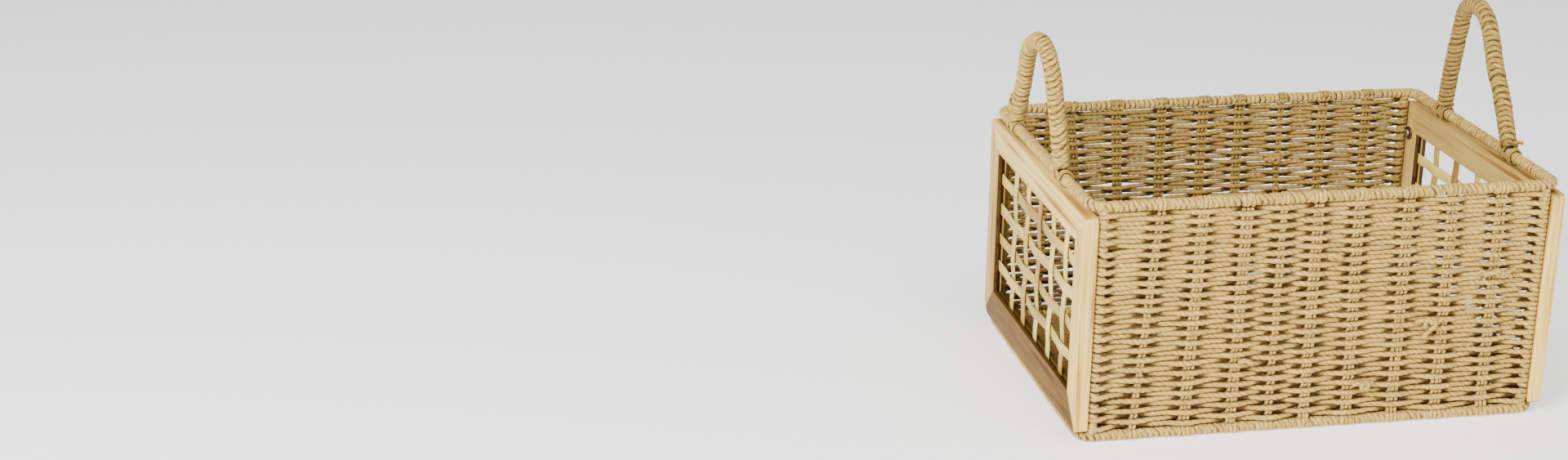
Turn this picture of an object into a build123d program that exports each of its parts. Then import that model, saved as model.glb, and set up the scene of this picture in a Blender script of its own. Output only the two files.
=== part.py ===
from build123d import *
import math
import os

# Woven cord basket: a wire frame wrapped in twisted paper cord, woven walls and base, a wooden frame
# with a bamboo lattice at each end, and two arch handles that swing on the rim's short sides.
# Millimetres, +Z up, +X along the length, the front wall at -Y. The origin is on the floor, under
# the middle of the base.

# ---- driving dimensions ----
half_length = 200.0  # outer faces of the wooden end frames
half_width = 139.0  # front and back edges of the wooden end frames
board_thickness = 11.0
side_board_width = 25.5  # the frames' stiles and top rails
bottom_rail_width = 28.0
wood_bottom = 8.9
wood_top = 190.3
corner_rounding = 5.0
rear_foot_rounding = 14.0  # the lower back corner of each end frame is worn rounder

rim_half_length = 193.5  # centre line of both rim rings
rim_half_width = 134.0
rim_bend_radius = 11.0
top_rim_height = 198.0
top_rim_radius = 4.75
bottom_rim_height = 4.2
bottom_rim_radius = 4.5
wire_radius = 2.0
clearance = 0.2
close_clearance = 0.1  # round the handles' wires and the screws in their washers
fit_clearance = 0.05  # round dowels and screws in the wood, and between the lattice's two layers

post_x = 184.0
post_wrap_radius = 4.6
wall_thickness = 7.0
wall_end = 177.0  # where the woven slab runs into the cord wrapped round the posts
stake_positions = [-147, -105, -67, -37, -7, 28, 69, 106, 147]
stake_width = 8.4
stake_thickness = 3.4
base_thickness = 5.6
base_lift = 0.4  # the base weave lies a little above the bottom rim's centre line
post_web_thickness = 5.0  # the weave narrows where it runs into a post's wrap
screw_pocket_length = 20.0

lattice_upright_positions = [-76, -39, -1, 36, 73]
lattice_cross_heights = [60.0, 86.0, 112.0, 140.0]
strip_width = 9.5
strip_thickness = 1.5
groove_width = 3.6
groove_depth = 4.0
strip_end_play = 0.5  # at each end of a strip, in its groove

screw_y = 126.5
screw_heights = [40.0, 162.0]
screw_head_radius = 3.4
screw_head_height = 2.2
screw_shank_radius = 1.5
screw_head_top_share = 0.7  # how wide the pan head's top is, as a share of its base
screw_depth = 8.0  # into the wood
screw_hole_depth = 8.5
washer_radius = 6.2
washer_thickness = 1.0

dowel_radius = 3.0
dowel_length = 20.0
dowel_end_play = 0.2
dowel_inset = 11.5  # from the frame's outer edges to the middle of a dowel

handle_cord_radius = 6.3
handle_wire_radius = 2.1
lashing_bore_radius = 5.05
lashing_radius = 7.3
lashing_length = 18.0
collar_radius = 7.0
collar_length = 16.0
wire_foot_distance = 6.55  # from the rim's centre line to the foot of a handle's wire

# Each handle: side of the basket, middle along Y, half span at the rim, outward splay of the legs
# from upright, bend radius at the top, and lean of the whole arch (outwards is positive).
handles = {
    "left": {"side": -1, "middle": 16.0, "half_span": 70.0, "splay": 25.0, "bend": 42.0, "lean": 2.5},
    "right": {"side": 1, "middle": 10.0, "half_span": 64.0, "splay": 22.0, "bend": 31.0, "lean": -6.5},
}

# ---- worked out from those ----
wood_inner_face = half_length - board_thickness
opening_half_width = half_width - side_board_width
opening_top = wood_top - side_board_width
opening_bottom = wood_bottom + bottom_rail_width
lattice_middle = half_length - board_thickness / 2
wall_bottom = bottom_rim_height + bottom_rim_radius + clearance
wall_top = top_rim_height - top_rim_radius - clearance
wall_height = wall_top - wall_bottom
washer_inner_face = post_x - post_wrap_radius - washer_thickness
base_middle = bottom_rim_height + base_lift
base_half_length = rim_half_length - bottom_rim_radius - clearance
base_half_width = rim_half_width - bottom_rim_radius - clearance

os.makedirs("parts", exist_ok=True)


def save(part, name):
    part.label = name
    export_step(part, "parts/" + name + ".step")


# ---- rim rings: a wire inside a wrap of cord ----
def rim_ring(name, height, outer_radius, inner_radius, cut_flat):
    """A closed ring round the basket; cut_flat trims its underside to the floor."""
    with BuildPart() as ring:
        with BuildLine(Plane.XY.offset(height)) as path:
            straight_x = rim_half_length - rim_bend_radius
            straight_y = rim_half_width - rim_bend_radius
            front = Line((0, -rim_half_width), (straight_x, -rim_half_width))
            corner = TangentArc(front @ 1, (rim_half_length, -straight_y), tangent=front % 1)
            Line(corner @ 1, (rim_half_length, 0))
            mirror(about=Plane.XZ)
            mirror(about=Plane.YZ)
        start = Plane(origin=(0, -rim_half_width, height), x_dir=(0, 1, 0), z_dir=(1, 0, 0))
        with BuildSketch(start):
            Circle(outer_radius)
            if inner_radius > 0:
                Circle(inner_radius, mode=Mode.SUBTRACT)
        sweep(path=path.wires()[0])
        if cut_flat:
            split(bisect_by=Plane.XY, keep=Keep.TOP)
    save(ring.part, name)


rim_ring("top_rim_wire", top_rim_height, wire_radius, 0, False)
rim_ring("top_rim_wrap", top_rim_height, top_rim_radius, wire_radius + clearance, False)
rim_ring("bottom_rim_wire", bottom_rim_height, wire_radius, 0, False)
rim_ring("bottom_rim_wrap", bottom_rim_height, bottom_rim_radius, wire_radius + clearance, True)

# ---- corner posts: upright wires between the two rims ----
for wall_name, wall_side in (("front", -1), ("back", 1)):
    for end_name, end_side in (("left", -1), ("right", 1)):
        with BuildPart() as post:
            with BuildSketch(Plane.XY.offset(wall_bottom)):
                with Locations((end_side * post_x, wall_side * rim_half_width)):
                    Circle(wire_radius)
            extrude(amount=wall_height)
        save(post.part, wall_name + "_" + end_name + "_post_wire")

# ---- woven walls: a slab that wraps round its posts, with a channel for each stake ----
stake_places = {
    "front": [(x, -rim_half_width) for x in stake_positions],
    "back": [(x, rim_half_width) for x in stake_positions],
}
for wall_name, wall_side in (("front", -1), ("back", 1)):
    wall_y = wall_side * rim_half_width
    post_places = [(-post_x, wall_y), (post_x, wall_y)]
    with BuildPart() as wall:
        with BuildSketch(Plane.XY.offset(wall_bottom)):
            with Locations((0, wall_y)):
                Rectangle(2 * wall_end, wall_thickness)
                Rectangle(2 * post_x, post_web_thickness)
            with Locations(*post_places):
                Circle(post_wrap_radius)
                Circle(wire_radius + clearance, mode=Mode.SUBTRACT)
            with Locations(*stake_places[wall_name]):
                SlotOverall(
                    stake_width + 2 * clearance,
                    stake_thickness + 2 * clearance,
                    mode=Mode.SUBTRACT,
                )
        extrude(amount=wall_height)
        for end_side in (-1, 1):
            for height in screw_heights:
                pocket_x = end_side * (wood_inner_face + wall_end) / 2
                with Locations(Location((pocket_x, wall_side * screw_y, height), (0, 90, 0))):
                    Cylinder(washer_radius + clearance, screw_pocket_length, mode=Mode.SUBTRACT)
    save(wall.part, wall_name + "_wall_weave")

    with BuildPart() as stakes:
        with BuildSketch(Plane.XY.offset(wall_bottom)):
            with Locations(*stake_places[wall_name]):
                SlotOverall(stake_width, stake_thickness)
        extrude(amount=wall_height)
    save(stakes.part, wall_name + "_wall_stakes")

# ---- woven base: a slab inside the bottom rim, with its own stakes from front to back ----
with BuildPart() as base:
    with BuildSketch(Plane.XY.offset(base_middle - base_thickness / 2)):
        RectangleRounded(
            2 * base_half_length,
            2 * base_half_width,
            rim_bend_radius - bottom_rim_radius,
        )
    extrude(amount=base_thickness)
    with BuildSketch(Plane.XZ.offset(-base_half_width)):
        with Locations(*[(x, base_middle) for x in stake_positions]):
            SlotOverall(stake_width + 2 * clearance, stake_thickness + 2 * clearance)
    extrude(amount=2 * base_half_width, mode=Mode.SUBTRACT)
save(base.part, "base_weave")

with BuildPart() as base_stakes:
    with BuildSketch(Plane.XZ.offset(-base_half_width + clearance)):
        with Locations(*[(x, base_middle) for x in stake_positions]):
            SlotOverall(stake_width, stake_thickness)
    extrude(amount=2 * (base_half_width - clearance))
save(base_stakes.part, "base_stakes")


# ---- wooden end frames: four mitred boards each, dowelled at the corners, grooved inside ----
outer_corners = {
    "front_bottom": (-half_width, wood_bottom),
    "back_bottom": (half_width, wood_bottom),
    "back_top": (half_width, wood_top),
    "front_top": (-half_width, wood_top),
}
inner_corners = {
    "front_bottom": (-opening_half_width, opening_bottom),
    "back_bottom": (opening_half_width, opening_bottom),
    "back_top": (opening_half_width, opening_top),
    "front_top": (-opening_half_width, opening_top),
}
board_corners = {
    "bottom_rail": ("front_bottom", "back_bottom"),
    "back_stile": ("back_bottom", "back_top"),
    "top_rail": ("back_top", "front_top"),
    "front_stile": ("front_top", "front_bottom"),
}
frame_middle = (wood_bottom + wood_top) / 2
dowel_places = []
for corner_y in (-1, 1):
    for corner_z, corner_height in ((-1, wood_bottom), (1, wood_top)):
        place = (
            corner_y * (half_width - dowel_inset),
            corner_height - corner_z * dowel_inset,
        )
        dowel_places.append((place, 45 * corner_y * corner_z))


def frame_plane(end_side):
    """Plane of the frame's lower-x face, with local x along Y and local y along Z."""
    lowest_x = wood_inner_face if end_side > 0 else -half_length
    return Plane(origin=(lowest_x, 0, 0), x_dir=(0, 1, 0), z_dir=(1, 0, 0))


def frame_board(end_name, end_side, board_name):
    first, second = board_corners[board_name]
    with BuildPart() as board:
        with BuildSketch(frame_plane(end_side)):
            with Locations((0, frame_middle)):
                outline = Rectangle(2 * half_width, wood_top - wood_bottom)
            rear_foot = outline.vertices().group_by(Axis.Z)[0].sort_by(Axis.Y)[-1]
            fillet(rear_foot, rear_foot_rounding)
            top_corners = outline.vertices().group_by(Axis.Z)[-1]
            front_foot = outline.vertices().group_by(Axis.Z)[0].sort_by(Axis.Y)[0]
            fillet([*top_corners, front_foot], corner_rounding)
            Polygon(
                outer_corners[first],
                outer_corners[second],
                inner_corners[second],
                inner_corners[first],
                align=None,
                mode=Mode.INTERSECT,
            )
        extrude(amount=board_thickness)
        with Locations((end_side * lattice_middle, 0, (opening_bottom + opening_top) / 2)):
            Box(
                groove_width,
                2 * (opening_half_width + groove_depth),
                opening_top - opening_bottom + 2 * groove_depth,
                mode=Mode.SUBTRACT,
            )
        for (dowel_y, dowel_z), tilt in dowel_places:
            with Locations(Location((end_side * lattice_middle, dowel_y, dowel_z), (tilt, 0, 0))):
                Cylinder(
                    dowel_radius + fit_clearance,
                    dowel_length + 2 * dowel_end_play,
                    mode=Mode.SUBTRACT,
                )
        for screw_side in (-1, 1):
            for height in screw_heights:
                hole_x = end_side * (wood_inner_face + screw_hole_depth / 2)
                with Locations(Location((hole_x, screw_side * screw_y, height), (0, 90, 0))):
                    Cylinder(
                        screw_shank_radius + fit_clearance,
                        screw_hole_depth,
                        mode=Mode.SUBTRACT,
                    )
    save(board.part, end_name + "_frame_" + board_name)


# ---- lattice strips, screws and washers of each end ----
def lattice_strips(end_name, end_side):
    upright_height = opening_top - opening_bottom + 2 * (groove_depth - strip_end_play)
    upright_offset = strip_thickness / 2 + fit_clearance
    with BuildPart() as uprights:
        upright_x = end_side * (lattice_middle + upright_offset)
        middle_height = (opening_bottom + opening_top) / 2
        with Locations(*[(upright_x, y, middle_height) for y in lattice_upright_positions]):
            Box(strip_thickness, strip_width, upright_height)
    save(uprights.part, end_name + "_lattice_uprights")
    with BuildPart() as crosses:
        cross_x = end_side * (lattice_middle - upright_offset)
        cross_length = 2 * (opening_half_width + groove_depth - strip_end_play)
        with Locations(*[(cross_x, 0, z) for z in lattice_cross_heights]):
            Box(strip_thickness, cross_length, strip_width)
    save(crosses.part, end_name + "_lattice_crosses")


def screws_and_washers(end_name, end_side):
    turn = 90 * end_side  # points a local +Z along the screw, into the wood
    places = [(side * screw_y, height) for side in (-1, 1) for height in screw_heights]
    head_start = end_side * (washer_inner_face - screw_head_height)
    with BuildPart() as screws:
        with Locations(*[Location((head_start, y, z), (0, turn, 0)) for y, z in places]):
            Cone(
                screw_head_radius * screw_head_top_share,
                screw_head_radius,
                screw_head_height,
                align=(Align.CENTER, Align.CENTER, Align.MIN),
            )
            Cylinder(
                screw_shank_radius,
                wood_inner_face - washer_inner_face + screw_head_height + screw_depth,
                align=(Align.CENTER, Align.CENTER, Align.MIN),
            )
    save(screws.part, end_name + "_frame_screws")
    with BuildPart() as washers:
        washer_start = end_side * washer_inner_face
        with Locations(*[Location((washer_start, y, z), (0, turn, 0)) for y, z in places]):
            Cylinder(washer_radius, washer_thickness, align=(Align.CENTER, Align.CENTER, Align.MIN))
            Cylinder(
                screw_shank_radius + close_clearance,
                4 * washer_thickness,
                mode=Mode.SUBTRACT,
            )
    save(washers.part, end_name + "_frame_washers")


def frame_dowels(end_name, end_side):
    with BuildPart() as dowels:
        for (dowel_y, dowel_z), tilt in dowel_places:
            with Locations(Location((end_side * lattice_middle, dowel_y, dowel_z), (tilt, 0, 0))):
                Cylinder(dowel_radius, dowel_length)
    save(dowels.part, end_name + "_frame_dowels")


for end_name, end_side in (("left", -1), ("right", 1)):
    for board_name in board_corners:
        frame_board(end_name, end_side, board_name)
    lattice_strips(end_name, end_side)
    screws_and_washers(end_name, end_side)
    frame_dowels(end_name, end_side)


# ---- handles: a bent wire inside a wrap of cord, lashed round the rim at each foot ----
def handle_plane(handle):
    """Plane of the arch: origin on the rim's centre line, local x along Y, local y up the arch."""
    lean = math.radians(handle["lean"]) * handle["side"]
    return Plane(
        origin=(handle["side"] * rim_half_length, handle["middle"], top_rim_height),
        x_dir=(0, 1, 0),
        z_dir=(math.cos(lean), 0, -math.sin(lean)),
    )


def arch_tube(name, handle, start_distance, outer_radius, inner_radius):
    """A tube along the arch, from start_distance up one leg to the same place on the other."""
    plane = handle_plane(handle)
    splay = math.radians(handle["splay"])
    peak = handle["half_span"] / math.tan(splay)
    foot_x = handle["half_span"] - start_distance * math.sin(splay)
    foot_y = start_distance * math.cos(splay)
    with BuildPart() as tube:
        with BuildLine(plane) as path:
            FilletPolyline((-foot_x, foot_y), (0, peak), (foot_x, foot_y), radius=handle["bend"])
        with BuildSketch(Plane(origin=path.line @ 0, z_dir=path.line % 0)):
            Circle(outer_radius)
            if inner_radius > 0:
                Circle(inner_radius, mode=Mode.SUBTRACT)
        sweep(path=path.line)
    save(tube.part, name)


def lashing(name, handle, foot_side):
    """Cord wound round the rim, with a collar that takes the foot of one leg."""
    plane = handle_plane(handle)
    splay = math.radians(handle["splay"])
    centre = plane.from_local_coords((foot_side * handle["half_span"], 0, 0))
    up_leg = plane.from_local_coords(
        (foot_side * (handle["half_span"] - math.sin(splay)), math.cos(splay), 0)
    )
    leg_plane = Plane(origin=centre, z_dir=up_leg - centre)
    rim_plane = Plane(origin=centre, z_dir=(0, 1, 0))
    with BuildPart() as winding:
        with BuildSketch(rim_plane):
            Circle(lashing_radius)
        extrude(amount=lashing_length / 2, both=True)
        with BuildSketch(leg_plane):
            Circle(collar_radius)
        extrude(amount=collar_length)
        with BuildSketch(rim_plane):
            Circle(lashing_bore_radius)
        extrude(amount=lashing_length, both=True, mode=Mode.SUBTRACT)
        with BuildSketch(leg_plane):
            Circle(handle_wire_radius + close_clearance)
        extrude(amount=2 * collar_length, mode=Mode.SUBTRACT)
    save(winding.part, name)


for end_name, handle in handles.items():
    arch_tube(end_name + "_handle_wire", handle, wire_foot_distance, handle_wire_radius, 0)
    arch_tube(
        end_name + "_handle_wrap",
        handle,
        collar_length + close_clearance,
        handle_cord_radius,
        handle_wire_radius + close_clearance,
    )
    lashing(end_name + "_handle_front_lashing", handle, -1)
    lashing(end_name + "_handle_rear_lashing", handle, 1)
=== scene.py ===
import bmesh
import bpy
import math
import numpy as np
from mathutils import Matrix, Vector


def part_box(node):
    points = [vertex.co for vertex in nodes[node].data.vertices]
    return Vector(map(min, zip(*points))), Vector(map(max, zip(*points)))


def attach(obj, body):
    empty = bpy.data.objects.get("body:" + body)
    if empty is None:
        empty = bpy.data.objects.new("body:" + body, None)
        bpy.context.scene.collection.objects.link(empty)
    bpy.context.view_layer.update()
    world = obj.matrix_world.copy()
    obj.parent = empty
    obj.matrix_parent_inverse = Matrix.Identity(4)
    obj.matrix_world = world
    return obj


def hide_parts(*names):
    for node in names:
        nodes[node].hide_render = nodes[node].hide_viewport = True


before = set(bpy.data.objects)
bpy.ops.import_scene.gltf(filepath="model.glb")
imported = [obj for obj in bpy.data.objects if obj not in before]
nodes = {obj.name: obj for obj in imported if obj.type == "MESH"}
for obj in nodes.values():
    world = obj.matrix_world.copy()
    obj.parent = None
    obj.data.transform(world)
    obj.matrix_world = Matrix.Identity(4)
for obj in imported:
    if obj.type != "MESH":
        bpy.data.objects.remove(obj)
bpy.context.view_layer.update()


# ---- Wires of the frame ----
# Brown coated steel wire: two rim rings, four corner posts and the two handle arches. Cord hides
# nearly all of it, so it only glints where two turns of the winding part.
def new_material(name, colour, roughness):
    """A material with one Principled shader, returned with its nodes, links and shader."""
    made = bpy.data.materials.new(name)
    made.use_nodes = True
    shader = made.node_tree.nodes["Principled BSDF"]
    shader.inputs["Base Color"].default_value = (*colour, 1)
    shader.inputs["Roughness"].default_value = roughness
    return made, made.node_tree.nodes, made.node_tree.links, shader


def noise_on(tree, links, source, scale, stretch=(1, 1, 1), detail=3.0):
    """Noise over a texture coordinate that a Mapping node stretches."""
    mapping = tree.new("ShaderNodeMapping")
    mapping.inputs["Scale"].default_value = stretch
    noise = tree.new("ShaderNodeTexNoise")
    noise.inputs["Scale"].default_value = scale
    noise.inputs["Detail"].default_value = detail
    links.new(source, mapping.inputs["Vector"])
    links.new(mapping.outputs["Vector"], noise.inputs["Vector"])
    return noise


def ramp_between(tree, links, factor, stops):
    """A colour ramp with the given (position, colour) stops."""
    ramp = tree.new("ShaderNodeValToRGB")
    elements = ramp.color_ramp.elements
    for index, (position, colour) in enumerate(stops):
        stop = elements[index] if index < 2 else elements.new(position)
        stop.position = position
        stop.color = (*colour, 1)
    links.new(factor, ramp.inputs["Fac"])
    return ramp


def wire_material():
    """Brown coating with faint darker and paler places."""
    made, tree, links, shader = new_material("coated_wire", (0.13, 0.08, 0.04), 0.5)
    place = tree.new("ShaderNodeTexCoord").outputs["Object"]
    patches = noise_on(tree, links, place, 400).outputs["Fac"]
    tones = ramp_between(
        tree, links, patches, [(0.35, (0.10, 0.06, 0.03)), (0.7, (0.20, 0.13, 0.07))]
    )
    links.new(tones.outputs["Color"], shader.inputs["Base Color"])
    return made


coated_wire = wire_material()
for node_name, node in nodes.items():
    if node_name.endswith("_wire"):
        node.data.materials.clear()
        node.data.materials.append(coated_wire)


# ---- Woven walls ----
# Rows of two-ply twisted paper cord, woven over and under the stakes. One long cord runs to and fro,
# and turns one and a half times round the wire post at each end before it comes back a row lower.
CORD_STEP = 0.00135  # distance between the rings of a cord's mesh
LAY_LENGTH = 0.012  # one full twist of the two plies
PLY_ANGLES = np.radians([-66, -24, 24, 66, 90, 114, 156, 204, 246, 270])
PLY_RADII = np.array([0.94, 1.02, 1.02, 0.94, 0.81, 0.94, 1.02, 1.02, 0.94, 0.81])
PLY_GROOVES = np.array([0, 0, 0, 0, 1, 0, 0, 0, 0, 1.0])
DARK_UP_TO = 0.040  # the painted shade of the inside is darkest up to this height
LIGHT_FROM = 0.125  # and no shade is painted above this one
# the strongest painted shade on the inside, on the groove attribute's scale
MOST_DIMMED = 0.9
FURROW_SHADE = 0.68  # painted shade in the furrows between the plies, where 1 is the cord's darkest colour
rng = np.random.default_rng(7)


def unit(vectors):
    """The vectors, each made one long."""
    return vectors / np.maximum(np.linalg.norm(vectors, axis=-1, keepdims=True), 1e-12)


def lengths_along(path):
    """The distance of each point from the path's start."""
    return np.concatenate([[0], np.cumsum(np.linalg.norm(np.diff(path, axis=0), axis=1))])


def sampled(places, lengths, values):
    """The values at places along a path, whose points lie at lengths."""
    return np.stack([np.interp(places, lengths, values[:, k]) for k in range(3)], axis=1)


def smooth_noise(count, reach, size):
    """Random values that change slowly: about reach samples from one bump to the next."""
    knots = rng.normal(0, size, max(int(count / reach) + 3, 4))
    return np.interp(np.linspace(0, len(knots) - 1, count), np.arange(len(knots)), knots)


def strand(path, outward, thickness, breadth, step=CORD_STEP, lay=LAY_LENGTH, depth=0.0):
    """Rings of a two-ply cord along path. thickness is its half size along outward, breadth
    across. depth is -1 to 1: how far it bends to outward's side, past what it is woven round."""
    path = np.asarray(path, float)
    lengths = lengths_along(path)
    rings = max(int(lengths[-1] / step), 3) + 1
    along = np.linspace(0, lengths[-1], rings)
    centre = sampled(along, lengths, path)
    tangent = unit(np.gradient(centre, axis=0))
    side = sampled(along, lengths, np.broadcast_to(np.asarray(outward, float), (len(path), 3)))
    side = unit(side - tangent * np.sum(side * tangent, axis=1, keepdims=True))
    across = np.cross(tangent, side)
    half_out = np.interp(along, lengths, np.broadcast_to(thickness, len(path)))
    half_across = np.interp(along, lengths, np.broadcast_to(breadth, len(path)))
    turn = 2 * math.pi * (along / lay + rng.random()) + smooth_noise(rings, 9, 0.7)
    half_out = half_out * (1 + smooth_noise(rings, 5, 0.035))
    half_across = half_across * (1 + smooth_noise(rings, 5, 0.035))
    angle = PLY_ANGLES[None, :] + turn[:, None]
    out = (half_out[:, None] * PLY_RADII * np.cos(angle))[..., None]
    over = (half_across[:, None] * PLY_RADII * np.sin(angle))[..., None]
    points = centre[:, None, :] + side[:, None, :] * out + across[:, None, :] * over
    # Painted shade grows on the sides that lie against the neighbours, and where the cord dives
    # under.
    pressed = np.clip((np.abs(np.sin(angle)) - 0.62) / 0.38, 0, 1) ** 1.5
    bent = np.interp(along, lengths, np.broadcast_to(depth, len(path)))[:, None]
    tucked_under_shade = np.clip(-2.6 * bent * np.cos(angle), 0, 1)
    shaded = np.maximum(FURROW_SHADE * PLY_GROOVES, pressed)
    return points, along, np.maximum(shaded, tucked_under_shade)


def paint_inside_shade(strands, inward):
    """Paint shade into the sides that face inward, more and more down to the floor."""
    dimmed = []
    for points, along, shaded in strands:
        facing = (points - points.mean(axis=1, keepdims=True)) @ np.asarray(inward, float)
        facing = np.clip(facing / WEFT_THICKNESS + 0.35, 0, 1)
        lowness = np.clip((LIGHT_FROM - points[..., 2]) / (LIGHT_FROM - DARK_UP_TO), 0, 1)
        dimmed.append((points, along, np.maximum(shaded, MOST_DIMMED * facing * lowness)))
    return dimmed


def cord_piece(name, strands, material, body, slot, *replaced):
    """One piece made of several strands, with capped ends and cord UVs. Its groove attribute is
    painted shade: high between the plies and where a cord lies against the next one."""
    round_count = len(PLY_ANGLES)
    places, quads, caps, uvs, shades = [], [], [], [], []
    base = 0
    for points, along, shaded in strands:
        rings = len(points)
        places.append(points.reshape(-1, 3))
        ring, spot = np.meshgrid(np.arange(rings - 1), np.arange(round_count), indexing="ij")
        ahead = (spot + 1) % round_count
        quad = np.stack(
            [
                ring * round_count + spot,
                ring * round_count + ahead,
                (ring + 1) * round_count + ahead,
                (ring + 1) * round_count + spot,
            ],
            axis=-1,
        ).reshape(-1, 4)
        quads.append(quad + base)
        length_now = along[ring]
        length_next = along[ring + 1]
        low = spot / round_count
        high = (spot + 1) / round_count
        uv = np.stack(
            [length_now, low, length_now, high, length_next, high, length_next, low], axis=-1
        ).reshape(-1, 4, 2)
        uv[..., 0] = uv[..., 0] * 80 + rng.random() * 50
        uvs.append(uv)
        first = np.arange(round_count)[::-1] + base
        last = np.arange(round_count) + base + (rings - 1) * round_count
        caps.extend([first, last])
        shades.append(shaded.ravel())
        base += rings * round_count
    quads = np.concatenate(quads)
    loops = np.concatenate([quads.ravel(), np.concatenate(caps)])
    counts = np.concatenate([np.full(len(quads), 4), np.full(len(caps), round_count)])
    mesh = bpy.data.meshes.new(name)
    mesh.vertices.add(base)
    mesh.vertices.foreach_set("co", np.concatenate(places).ravel())
    mesh.loops.add(len(loops))
    mesh.loops.foreach_set("vertex_index", loops)
    mesh.polygons.add(len(counts))
    mesh.polygons.foreach_set("loop_start", np.concatenate([[0], np.cumsum(counts)[:-1]]))
    mesh.polygons.foreach_set("loop_total", counts)
    mesh.update(calc_edges=True)
    layer = mesh.uv_layers.new(name="cord")
    flat_uv = np.zeros((len(loops), 2))
    flat_uv[: len(quads) * 4] = np.concatenate(uvs).reshape(-1, 2)
    layer.data.foreach_set("uv", flat_uv.ravel())
    groove = mesh.attributes.new("groove", "FLOAT", "POINT")
    groove.data.foreach_set("value", np.concatenate(shades))
    mesh.polygons.foreach_set("use_smooth", np.ones(len(counts), bool))
    mesh.validate()
    piece = bpy.data.objects.new(name, mesh)
    bpy.context.scene.collection.objects.link(piece)
    mesh.materials.append(material)
    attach(piece, body)
    if replaced:
        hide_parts(*replaced)
    return piece


def add_bump(tree, links, shader, height, distance, strength=1.0):
    """Bump from a height; a second call adds to the first."""
    bump = tree.new("ShaderNodeBump")
    bump.inputs["Distance"].default_value = distance
    bump.inputs["Strength"].default_value = strength
    links.new(height, bump.inputs["Height"])
    if shader.inputs["Normal"].is_linked:
        before = shader.inputs["Normal"].links[0].from_socket
        links.new(before, bump.inputs["Normal"])
    links.new(bump.outputs["Normal"], shader.inputs["Normal"])


def multiplied(tree, links, colour, tint):
    """A colour times a tint."""
    blend = tree.new("ShaderNodeMix")
    blend.data_type = "RGBA"
    blend.blend_type = "MULTIPLY"
    blend.inputs["Factor"].default_value = 1.0
    links.new(colour, blend.inputs["A"])
    links.new(tint, blend.inputs["B"])
    return blend.outputs["Result"]


def cord_material(name, pale, deep, dark):
    """Twisted paper cord: fibres along the plies, soft blotches, and painted shade in the furrows
    between plies.
    """
    made, tree, links, shader = new_material(name, pale, 0.58)
    shader.inputs["Specular IOR Level"].default_value = 0.15
    shader.inputs["Sheen Weight"].default_value = 0.05
    shader.inputs["Sheen Roughness"].default_value = 0.4
    uv = tree.new("ShaderNodeUVMap")
    uv.uv_map = "cord"
    place = tree.new("ShaderNodeTexCoord")
    fibres = noise_on(tree, links, uv.outputs["UV"], 1.0, (1.3, 26, 1), 6)
    fibres.inputs["Roughness"].default_value = 0.62
    fibre_ramp = ramp_between(
        tree, links, fibres.outputs["Fac"], [(0.33, dark), (0.45, deep), (0.60, pale)]
    )
    blotch = noise_on(tree, links, place.outputs["Object"], 95, (0.35, 1, 1), 3)
    blotch_ramp = ramp_between(
        tree, links, blotch.outputs["Fac"], [(0.3, (0.80, 0.79, 0.74)), (0.72, (1.06, 1.05, 1.04))]
    )
    paper = multiplied(tree, links, fibre_ramp.outputs["Color"], blotch_ramp.outputs["Color"])
    # The groove attribute is painted shade: it mixes the colour towards dark.
    painted_shade = tree.new("ShaderNodeAttribute")
    painted_shade.attribute_name = "groove"
    painted_shade_ramp = ramp_between(
        tree, links, painted_shade.outputs["Fac"], [(0.25, (0, 0, 0)), (1.0, (0.93, 0.93, 0.93))]
    )
    deepen = tree.new("ShaderNodeMix")
    deepen.data_type = "RGBA"
    links.new(painted_shade_ramp.outputs["Color"], deepen.inputs["Factor"])
    links.new(paper, deepen.inputs["A"])
    deepen.inputs["B"].default_value = (*dark, 1)
    links.new(deepen.outputs["Result"], shader.inputs["Base Color"])
    add_bump(tree, links, shader, fibres.outputs["Fac"], 0.0006, 1.0)
    return made


weft_cord = cord_material(
    "weft_cord", (0.83, 0.565, 0.158), (0.60, 0.375, 0.080), (0.12, 0.056, 0.013)
)
# The back wall's cords are darker copies of the front ones: painted shade, though both walls have
# the same cord.
shaded_back_weft_cord = cord_material(
    "shaded_back_weft_cord", (0.58, 0.375, 0.095), (0.40, 0.24, 0.046), (0.085, 0.040, 0.009)
)
shaded_back_stake_cord = cord_material(
    "shaded_back_stake_cord", (0.64, 0.42, 0.11), (0.45, 0.28, 0.058), (0.09, 0.042, 0.010)
)
# Both stake cords are lighter than their wall's weft cord: painted light on the stake strands, which
# are the same cord.
stake_cord = cord_material(
    "stake_cord", (0.90, 0.63, 0.185), (0.68, 0.43, 0.095), (0.13, 0.06, 0.014)
)

post_low, post_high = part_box("front_right_post_wire")
post_x = (post_low.x + post_high.x) / 2
wall_y = abs(post_low.y + post_high.y) / 2
wall_low, wall_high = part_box("front_wall_weave")
TOP_PITCH = 0.0037  # rows lie tight under the top rim and looser near the bottom
BOTTOM_PITCH = 0.0045
WEAVE_DEPTH = 0.0029  # how far a row bends to either side of the wall's middle
DIVE_REACH = 0.0100  # how near a stake a row starts to bend round it
WEFT_THICKNESS = 0.0018
WEFT_BREADTH = 0.00205
PRESSED_SPREAD = 0.20  # a cord spreads where it is pressed against a stake
TURN_RADIUS = 0.0033  # of a row's turn round a post
TURN_THICKNESS = 0.0013
ROW_SAMPLES = 420
TURN_SAMPLES = 50
LOOSENESS = 0.00034  # how far a row's height wanders from the row above
LONGEST_DIVE = 1.15  # a dive's greatest length under the top rim, as a share of DIVE_REACH
LOWER_DIVES = 0.40  # how much longer the dives grow towards the floor
BINDING_RADIUS = 0.0031
BINDING_PITCH = 0.0036


def row_heights():
    """Heights of the rows from the top rim down."""
    heights = [wall_high.z - WEFT_BREADTH]
    while heights[-1] > wall_low.z + 1.2 * BOTTOM_PITCH:
        share = (wall_high.z - heights[-1]) / (wall_high.z - wall_low.z)
        heights.append(heights[-1] - (TOP_PITCH + (BOTTOM_PITCH - TOP_PITCH) * share))
    return heights


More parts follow.
